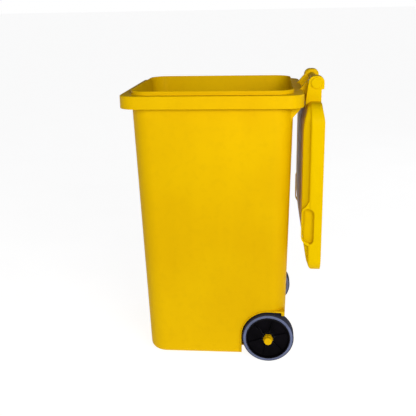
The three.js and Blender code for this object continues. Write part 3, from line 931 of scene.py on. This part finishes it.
def well_outline(extra):
    """Up ahead of the wheel, over its top, straight back, and down past the tab behind it."""
    radius = WHEEL_RADIUS + WHEEL_GAP + extra
    top = wheel.z + radius
    rear = ARCH_ROOF_REAR + extra
    tab = TAB_LEVEL + extra
    turn_down = filleted([
        (wheel.y, top, 0), (rear, top - 1.5, 8), (rear, tab, 0.8), (wheel.y + radius, tab, 0),
    ], 0, 5, closed=False)
    arc = arc_points(radius, 180, 91)
    return edge_ahead(radius) + arc + turn_down + [Vector((wheel.y + radius, -20))]


def wheel_well():
    return prism("wheel_well", well_outline(0), WELL_INNER, ARCH_FACE, 1.2, reach=40)


def wheel_well_wall():
    return prism("wheel_well_wall", well_outline(WALL), WELL_INNER - WALL, rim_half_width)


def band_outline():
    """Beyond the well's outline by the band's width, and level at the rear, where the tab is."""
    radius = WHEEL_RADIUS + WHEEL_GAP + ARCH_BAND
    top = wheel.z + radius
    far = tub_base["rear"] + 20
    arc = arc_points(radius, 180, 91)
    return edge_ahead(radius) + arc + [Vector((far, top - 1.5)), Vector((far, -20))]


def arch_band():
    band = prism("arch_band", band_outline(), WELL_INNER - WALL, ARCH_FACE, 3.0)
    lowest = BASE_LEVEL + 14
    keep = box("keep", 0, rim_half_width, 0, tub_base["rear"], lowest, rim_top, 2.0)
    return combine(band, "INTERSECT", [keep])


print(f"arch radius {WHEEL_RADIUS + WHEEL_GAP:.0f} mm round a wheel of {WHEEL_RADIUS:.0f} mm")

# %% [markdown]
# The axle lies across a notch in the base's rear edge, in four upright plates. The notch is a box cut right
# across. The plates are welded in after it is cut, and one long bore then goes through all of them, so
# their holes are sure to line up.

# %% Axle notch, plates and foot
PLATE_PLACES = (-208, -70, 70, 208)
PLATE_HALF = 3.0
FOOT_HALF = 150.0


def axle_notch(extra):
    far = rim_half_width + 40
    low, high = -20, NOTCH_ROOF + extra
    return box("axle_notch", -far, far, NOTCH_FRONT - extra, rim_rear + 60, low, high)


def axle_plates():
    front, rear = NOTCH_FRONT - 2, wheel.y + 34
    low, high = wheel.z - 22, NOTCH_ROOF + 2
    return [
        box(f"axle_plate_{i}", x - PLATE_HALF, x + PLATE_HALF, front, rear, low, high, 0.8)
        for i, x in enumerate(PLATE_PLACES)
    ]


def front_foot():
    front, rear = rim_front + 105, rim_front + 135
    return box("front_foot", -FOOT_HALF, FOOT_HALF, front, rear, 0, FLOOR_LEVEL - 1, 2.0)


print("axle plates at", PLATE_PLACES)

# %% [markdown]
# The order of the next steps matters. Everything that stands out of the tub is welded on first, the hollow
# is cut afterwards, so nothing pokes into the mouth, and the wheel wells are cut last of the large shapes.
# The hollow has the wells' walls taken off it before it cuts, which leaves a skin round each wheel.

# %% Build the container
def build_container():
    body = tub_outer()
    body.name = "container_shell"
    rim = cut(rim_block(), rim_channel())
    weld(body, rim, *both(hinge_bracket()), handle_bar(), *both(arch_band()))
    weld(body, *rear_gussets(), *channel_ribs())
    hollow = cut(tub_hollow(), *both(wheel_well_wall()), axle_notch(WALL))
    cut(body, hollow, *both(wheel_well()), axle_notch(0))
    weld(body, *axle_plates(), front_foot())
    far = rim_half_width
    bore = round_bar("axle_bore", AXLE_RADIUS + FIT, -far, far, wheel.y, wheel.z, 0.5)
    cut(body, bore, *both(pin_hole()))
    return finish_mesh(body)


container_shell = build_container()

# %% [markdown]
# ## The lid
#
# The lid is drawn shut, with the hinge line at the origin, because its heights only make sense that way:
# a skirt that drops over the mouth, a step, and a dome inside the step. Its crown rises from the hinge end
# and falls to a rounded front. One set of rings gives the whole top skin. Each ring has a height, and the
# crown line caps that height with a soft minimum, so step, dome and front edge melt into each other.
# The inner skin is the same surface moved in by the wall, and is cut out of the outer one.

# %% Crown line
LID_HALF = 280.0
LID_REAR = 63.0
LID_FRONT = 668.0
LID_CORNER = 65.0
LID_RIM = -25.0
LID_WALL = 3.5
SKIRT_TOP = 22.0
DOME_TOP = 47.0
REAR_LIFT = 8.0
CROWN = [
    (55, 25), (63, 28), (90, 36), (130, 44), (170, 47), (400, 47), (470, 45.5), (540, 39),
    (600, 30), (630, 23.5), (650, 15.5), (660, 8), (666, -2), (668.5, -14), (669, -40),
]


def crown_height(ahead):
    """Height of the crown line at a distance ahead of the hinge, by a smooth curve through its points."""
    points = CROWN
    if ahead <= points[0][0]:
        return points[0][1]
    if ahead >= points[-1][0]:
        return points[-1][1]
    i = max(k for k in range(len(points) - 1) if points[k][0] <= ahead)
    (a0, h0), (a1, h1) = points[i], points[i + 1]
    before = points[max(i - 1, 0)]
    after = points[min(i + 2, len(points) - 1)]
    slope0 = (h1 - before[1]) / (a1 - before[0])
    slope1 = (after[1] - h0) / (after[0] - a0)
    t = (ahead - a0) / (a1 - a0)
    run = a1 - a0
    return (
        h0 * (2 * t ** 3 - 3 * t ** 2 + 1) + slope0 * run * (t ** 3 - 2 * t ** 2 + t)
        + h1 * (3 * t ** 2 - 2 * t ** 3) + slope1 * run * (t ** 3 - t ** 2)
    )


print("crown is", [round(crown_height(a), 1) for a in (63, 200, 400, 600, 660)], "mm high along its length")

# %% [markdown]
# The rings go from the rim of the lid to the middle of its top. Each takes its inset from a short list:
# skirt, rounded shoulder, step, the dome's sloping side, and a top that closes in on a ridge. The insets
# stay under half the lid's width all the way, because a ring that passed it would turn inside out.

# %% Lid skins
def soft_minimum(a, b, width):
    share = max(0.0, min(1.0, 0.5 + 0.5 * (b - a) / width))
    return b + (a - b) * share - width * share * (1 - share)


def rear_lift(ahead):
    """How much the skirt's lower edge is lifted near the hinge end."""
    t = max(0.0, min(1.0, (LID_REAR + 60 - ahead) / 60))
    return REAR_LIFT * t * t * (3 - 2 * t)


def lid_sections():
    """(inset, inset at the hinge end, height) of each ring of the top skin, from rim to middle."""
    shoulder = list(reversed(quarter(9.0, 8)))[1:]
    sections = [(0, 0, z) for z in (-18, -10, -4, 1, 5, 8, 11, 13)]
    sections += [(inset, inset * 0.3, SKIRT_TOP - along) for along, inset in shoulder]
    sections += [(12, 3.1, SKIRT_TOP + 0.1), (15, 3.6, SKIRT_TOP + 0.5), (17, 4.1, SKIRT_TOP + 2)]
    sections += [(18 + 14 * k / 6, 4.5 + 8 * k / 6, SKIRT_TOP + 3 + 18 * k / 6) for k in range(7)]
    sections += [(33.2, 13.6, 44.6), (35, 15.2, 45.9), (37.5, 17.5, 46.7)]
    spread = LID_HALF - 45
    steps = [spread * (k / 16) ** 1.45 for k in range(17)]
    sections += [(41 + step, 20.5 + step, DOME_TOP) for step in steps]
    return sections


def lid_ring(inset, rear_inset, z, wall):
    front = LID_FRONT - inset - wall
    rear = LID_REAR + rear_inset + wall
    half = LID_HALF - inset - wall
    radius = max(LID_CORNER - inset - wall, 12)
    plan = rounded_rectangle(-half, half, -front, -rear, radius)
    height = z - wall
    share = max(0.0, min(1.0, (-2 - height) / (-2 - LID_RIM)))
    return [
        (p.x, p.y, soft_minimum(height, crown_height(wall - p.y) - wall, 5.0) + share * rear_lift(-p.y))
        for p in plan
    ]


def lid_outer():
    small = 1.3
    rings = [lid_ring(inset, inset, LID_RIM + along, 0) for along, inset in quarter(small)]
    rings += [lid_ring(*section, 0) for section in lid_sections()]
    return loft("lid_outer", rings)


def lid_inner():
    small = 1.3
    low = LID_RIM + LID_WALL
    rings = [lid_ring(-small, -small, low - 12, LID_WALL)]
    rings += [lid_ring(-inset, -inset, low + along, LID_WALL) for along, inset in quarter(small)]
    rings += [lid_ring(*section, LID_WALL) for section in lid_sections()[1:]]
    return loft("lid_inner", rings)


print("rings in the lid's top skin:", len(lid_sections()))

# %% [markdown]
# Two arms join the lid to its pins. Each is a boxed web whose end is rounded over the pin. Moulded plastic
# shrinks and dents where it is thick, so a pocket is cut into the arm from below and leaves walls of 4 mm.

# %% Lid arms
ARM_INNER = 120.0
ARM_OUTER = 160.0
ARM_WALL = 4.0


def lid_arm():
    corners = [
        (24.5, -28, 21), (24.5, 24.5, 23), (-LID_REAR, 36, 0), (-96, 38, 0), (-96, 30, 0),
        (-LID_REAR - 2, -19, 0), (-22, -19, 3), (-22, -28, 6),
    ]
    pocket_corners = [
        (-32, LID_RIM - 20), (-LID_REAR + 1, LID_RIM - 20), (-LID_REAR + 1, 31), (-32, 26),
    ]
    arm = prism("lid_arm", filleted(corners, 3), ARM_INNER, ARM_OUTER, 1.8)
    inside = filleted(pocket_corners, 4)
    return cut(arm, prism("arm_pocket", inside, ARM_INNER + ARM_WALL, ARM_OUTER - ARM_WALL, 1.0))


print("each arm is", ARM_OUTER - ARM_INNER, "mm wide")

# %% [markdown]
# A finger grip on each long side is a scoop pressed into the skirt, bridged by a thin loop that is open
# behind. The scoop's floor slants, deeper towards the dome, so fingers get behind the loop. It is a loft
# along X whose deep rings lean, and the same loft, grown by the wall, gives the skin behind it.

# %% Finger grips
GRIP_START = 424.0
GRIP_END = 556.0
GRIP_DEPTH = 18.0
SCOOP_FLOOR = 3.0
SCOOP_SLANT = 0.25


def grip_scoop(extra):
    """The finger scoop as a cutter. With extra it is the block that its walls fill."""
    radius = 20 + extra
    low = SCOOP_FLOOR - extra
    plan = rounded_rectangle(-GRIP_END - extra, -GRIP_START + extra, low, low + 4 * radius, radius)
    back = LID_HALF - GRIP_DEPTH - extra
    sections = [(back + along, -inset) for along, inset in quarter(5.0 + extra, 6)]
    if not extra:
        sections += [(LID_HALF - 1.5 + along, 1.5 - inset) for inset, along in reversed(quarter(1.5))]
    sections.append((LID_HALF + 20, 0 if extra else 1.5))
    rings = []
    for x, amount in sections:
        slant = SCOOP_SLANT * max(0.0, min(1.0, (LID_HALF - x) / GRIP_DEPTH))
        rings.append([(x - slant * min(p.y - low, 40), p.x, p.y) for p in grown(plan, amount)])
    return loft("grip_scoop", rings)


def grip_loop():
    outer = [
        (-396, 16, 0), (-396, 21, 0), (-413, 31, 8), (-424, 43, 6), (-435, 47, 5),
        (-529, 47, 5), (-541, 44, 6), (-553, 36, 8), (-564, 16, 0),
    ]
    inner = [
        (-424, 8), (-424, 33), (-431, 40), (-438, 42.7), (-526, 42.7), (-536, 40), (-546, 33), (-556, 8),
    ]
    loop = prism("grip_loop", filleted(outer, 3), 265, 277, 1.5)
    window = prism("grip_window", filleted(inner, 4), 265, 277, 1.2, reach=10)
    return cut(loop, window)


print("grip from", GRIP_START, "to", GRIP_END, "mm ahead of the hinge")

# %% [markdown]
# The lid goes together as the container did: solids welded, hollow cut, then the thin loops that must not
# be cut. It is finally turned about the hinge line to where it hangs. A quarter turn down ends in the same
# place as the three quarters of a turn, up and over, that a real lid makes.

# %% Build the lid
def build_lid():
    lid = lid_outer()
    lid.name = "lid_moulding"
    weld(lid, *both(lid_arm()))
    hollow = cut(lid_inner(), *both(grip_scoop(LID_WALL)))
    cut(lid, hollow, *both(grip_scoop(0)))
    weld(lid, *both(grip_loop()))
    bore = round_bar("lid_bore", PIN_BORE, ARM_INNER - 20, ARM_OUTER + 20, 0, 0, 0.5)
    cut(lid, *both(bore))
    hang = Matrix.Translation(hinge * MM) @ Matrix.Rotation(math.pi / 2, 4, "X")
    lid.data.transform(hang)
    return finish_mesh(lid)


lid_moulding = build_lid()

# %% [markdown]
# ## Hinge pins
#
# Each pin is pushed in from outside and its broad, low head shows on the arm. The tip is pointed a little,
# so that it finds the bore.

# %% Pins
def hinge_pin():
    tip = pin_low.x
    face = ARM_OUTER + FIT
    head = pin_high.z - hinge.z
    profile = filleted([
        (tip, 0.6), (tip, PIN_RADIUS - 2, 1), (tip + 4, PIN_RADIUS, 2), (face, PIN_RADIUS, 0.3),
        (face, head, 0.8), (face + 3.6, head, 1.6), (face + 5, head - 4.5, 3), (face + 4.4, 2),
    ], 0.5, 4, closed=False)
    return turning("hinge_pin_right", profile, hinge.y, hinge.z, 64)


print("pin head", 2 * (pin_high.z - hinge.z), "mm across")

# %% [markdown]
# ## Wheels
#
# A tyre of solid rubber is stretched over a dished black centre. Its profile has rounded shoulders, a step
# where the side meets them, two shallow grooves in the tread, and between those the fine ridge that the
# mould's parting line leaves. The two halves of the tread mirror each other, so the profile lists one half
# and a loop makes the other.

# %% Tyre
HUB_SEAT = 82.1


def tread_points(middle, r):
    """The grooves and the parting ridge across the tread, from its inner to its outer side."""
    half = [(9, r, 0.5), (8.2, r - 0.9, 0.3), (7, r - 0.9, 0.3), (6.2, r - 0.3, 0.5), (0.8, r - 0.3, 0.2)]
    inner_half = [(middle - x, radius, size) for x, radius, size in half]
    outer_half = [(middle + x, radius, size) for x, radius, size in reversed(half)]
    return inner_half + [(middle, r, 0.3)] + outer_half


def tyre():
    outer, inner = tyre_high.x, tyre_low.x
    middle = (outer + inner) / 2
    r = WHEEL_RADIUS
    seat = HUB_SEAT + FIT
    inner_side = [(inner, seat, 1), (inner, r - 3, 2.5), (inner + 3, r - 0.1, 3)]
    outer_side = [
        (outer - 3, r - 0.1, 3), (outer - 0.2, r - 3, 2.5),
        (outer - 0.9, r - 4.2, 0.6), (outer, r - 5.4, 0.8), (outer, seat, 1),
    ]
    profile = filleted(inner_side + tread_points(middle, r) + outer_side, 0.5, 4)
    return turning("tyre_right", profile, wheel.y, wheel.z, 128, ring=True)


print("tyre", 2 * WHEEL_RADIUS, "mm across and", tyre_high.x - tyre_low.x, "mm wide")

# %% [markdown]
# The centre is one turning: a boss, a web dished inwards so that the cap is sheltered, and a broad band
# that the tyre grips. Six ribs from boss to band keep the thin web stiff. Each rib is a box that stands
# up over the origin, and a turn and a shift take it to its place round the axle.

# %% Wheel centre
BOSS_RADIUS = 24.0
BUSH_RADIUS = 13.0
RIBS = 6
FIRST_RIB = 16.0


def hub():
    front = hub_high.x
    back = hub_low.x
    seat = HUB_SEAT
    bore = BUSH_RADIUS + FIT
    behind = [
        (back, bore, 0.4), (back, BOSS_RADIUS, 1),
        (front - 28, BOSS_RADIUS + 2, 6), (front - 22, seat - 9, 6),
    ]
    band = [
        (front - 42, seat - 5, 1), (front - 42, seat, 0.8), (front, seat, 1.2),
        (front, seat - 3, 1.2), (front - 5, seat - 5, 2),
    ]
    dish = [
        (front - 11, seat - 8, 4), (front - 15, BOSS_RADIUS + 8, 6), (front - 14, BOSS_RADIUS + 1, 2),
        (front - 10, BOSS_RADIUS - 0.5, 1), (front - 10, bore, 0.4),
    ]
    profile = filleted(behind + band + dish, 1, 5)
    body = turning("hub_right", profile, wheel.y, wheel.z, 128, ring=True)
    ribs = []
    for i in range(RIBS):
        rib = box(f"hub_rib_{i}", front - 20, front - 8, -1.8, 1.8, BOSS_RADIUS - 3, seat - 5, 1.2)
        turn = Matrix.Rotation(math.radians(FIRST_RIB - 90 + i * 360 / RIBS), 4, "X")
        place = Matrix.Translation((0, wheel.y * MM, wheel.z * MM))
        rib.data.transform(place @ turn)
        ribs.append(rib)
    return weld(body, *ribs)


print("wheel centre has", RIBS, "ribs")

# %% [markdown]
# The rest of the wheel is small turned parts. A nylon bush turns on the axle, a spacer keeps the wheel off
# the outer plate, and a push-on nut of spring steel bites into the axle's end. The axle itself is a plain
# bar with chamfered ends.

# %% Bushes, spacers, nuts and axle
NUT_RADIUS = 14.0
BUSH_LENGTH = 43.0
SPACER_START = PLATE_PLACES[-1] + PLATE_HALF + FIT


def tube(name, inner, outer, x0, x1, soft):
    profile = filleted([(x0, inner), (x0, outer), (x1, outer), (x1, inner)], soft, 3)
    return turning(name, profile, wheel.y, wheel.z, 64, ring=True)


def push_nut():
    x0 = cap_low.x
    bore = AXLE_RADIUS + FIT
    profile = filleted([
        (x0, bore), (x0, NUT_RADIUS), (x0 + 1.2, NUT_RADIUS), (x0 + 1.5, 12.6), (x0 + 2.4, 11.5),
        (x0 + 2.4, bore),
    ], 0.3, 3)
    return turning("push_nut_right", profile, wheel.y, wheel.z, 64, ring=True)


def axle():
    profile = filleted([
        (-axle_end, 1.0), (-axle_end, AXLE_RADIUS, 1.2), (axle_end, AXLE_RADIUS, 1.2), (axle_end, 1.0),
    ], 1, 4, closed=False)
    return turning("axle_bar", profile, wheel.y, wheel.z, 64)


def hub_bush():
    back = hub_low.x
    return tube("bush", AXLE_RADIUS + FIT, BUSH_RADIUS, back, back + BUSH_LENGTH, 0.5)


def axle_spacer():
    return tube("spacer", AXLE_RADIUS + FIT, AXLE_RADIUS + 5, SPACER_START, hub_low.x - FIT, 0.6)


print(f"axle {2 * axle_end:.0f} mm long and {2 * AXLE_RADIUS:.0f} mm thick")

# %% [markdown]
# A yellow cap hides the nut. Its base is six-sided and its nose is round, with a small dimple in the middle.
# The two are made apart, as a prism and a turning, and welded. A hollow in two steps is then cut from
# behind, wide over the nut and narrower over the axle's end.

# %% Hub cap
HEX_RADIUS = 18.5
NOSE_RADIUS = 15.0
NOSE_LENGTH = 13.0


def hub_cap():
    base, end = cap_low.x, cap_high.x
    angles = [math.radians(60 * k) for k in range(6)]
    points = [HEX_RADIUS * Vector((math.cos(a), math.sin(a))) for a in angles]
    outline = [p + Vector((wheel.y, wheel.z)) for p in filleted(points, 2.5, 5)]
    hexagon = prism("hub_cap_right", outline, base, end - NOSE_LENGTH, 1.2)
    nose_profile = filleted([
        (base + 1, NOSE_RADIUS, 0), (end - 5, NOSE_RADIUS, 3), (end, 13.6, 2.2), (end, 5, 0.8),
        (end - 0.8, 3.5, 0.5), (end - 0.8, 0.5, 0),
    ], 1, 5, closed=False)
    nose = turning("cap_nose", nose_profile, wheel.y, wheel.z, 72)
    wide, narrow = NUT_RADIUS + 0.5, NOSE_RADIUS - 2.5
    hollow_profile = [(base - 1, wide), (base + 4, wide), (base + 4, narrow), (end - 2.8, narrow)]
    hollow = turning("cap_hollow", hollow_profile, wheel.y, wheel.z, 48)
    return cut(weld(hexagon, nose), hollow)


print("cap stands", round(cap_high.x - hub_high.x, 1), "mm beyond the wheel centre")

# %% [markdown]
# ## Putting the pieces on their bodies
#
# Each piece rides on the body that moves it, stands for the plain solid of the same part, and takes one of
# the finishes made above. Pieces that exist on both sides are made once, for the right side, and mirrored:
# a wheel on the left shows the same ribs, seen in a mirror.

# %% Mount every piece
RIGHT_PIECES = [
    ("hinge_pin", hinge_pin, lid_finish, "lid_plastic", "container"),
    ("tyre", tyre, tyre_finish, "tyre_rubber", "wheel"),
    ("wheel_hub", hub, hub_finish, "hub_plastic", "wheel"),
    ("hub_bush", hub_bush, bush_finish, "bush_nylon", "wheel"),
    ("axle_spacer", axle_spacer, bush_finish, "bush_nylon", "container"),
    ("push_nut", push_nut, nut_finish, "axle_steel", "container"),
    ("hub_cap", hub_cap, cap_finish, "cap_plastic", "wheel"),
]


def mount(piece, name, node_name, finish, body):
    piece.name = name
    piece.data.materials.clear()
    piece.data.materials.append(finish)
    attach(piece, body)
    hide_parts(node_name)


mount(
    container_shell, "container_shell", "container_body", container_finish, "container")
mount(lid_moulding, "lid_moulding", "lid_shell", lid_finish, "lid")
mount(finish_mesh(axle()), "axle_bar", "axle", axle_finish, "container")
for base_name, make, finish, slot, body in RIGHT_PIECES:
    made = make()
    for piece, side in zip((made, mirrored(made)), ("right", "left")):
        finish_mesh(piece)
        body_name = f"wheel_{side}" if body == "wheel" else body
        mount(piece, f"{base_name}_{side}_piece", f"{base_name}_{side}", finish, body_name)
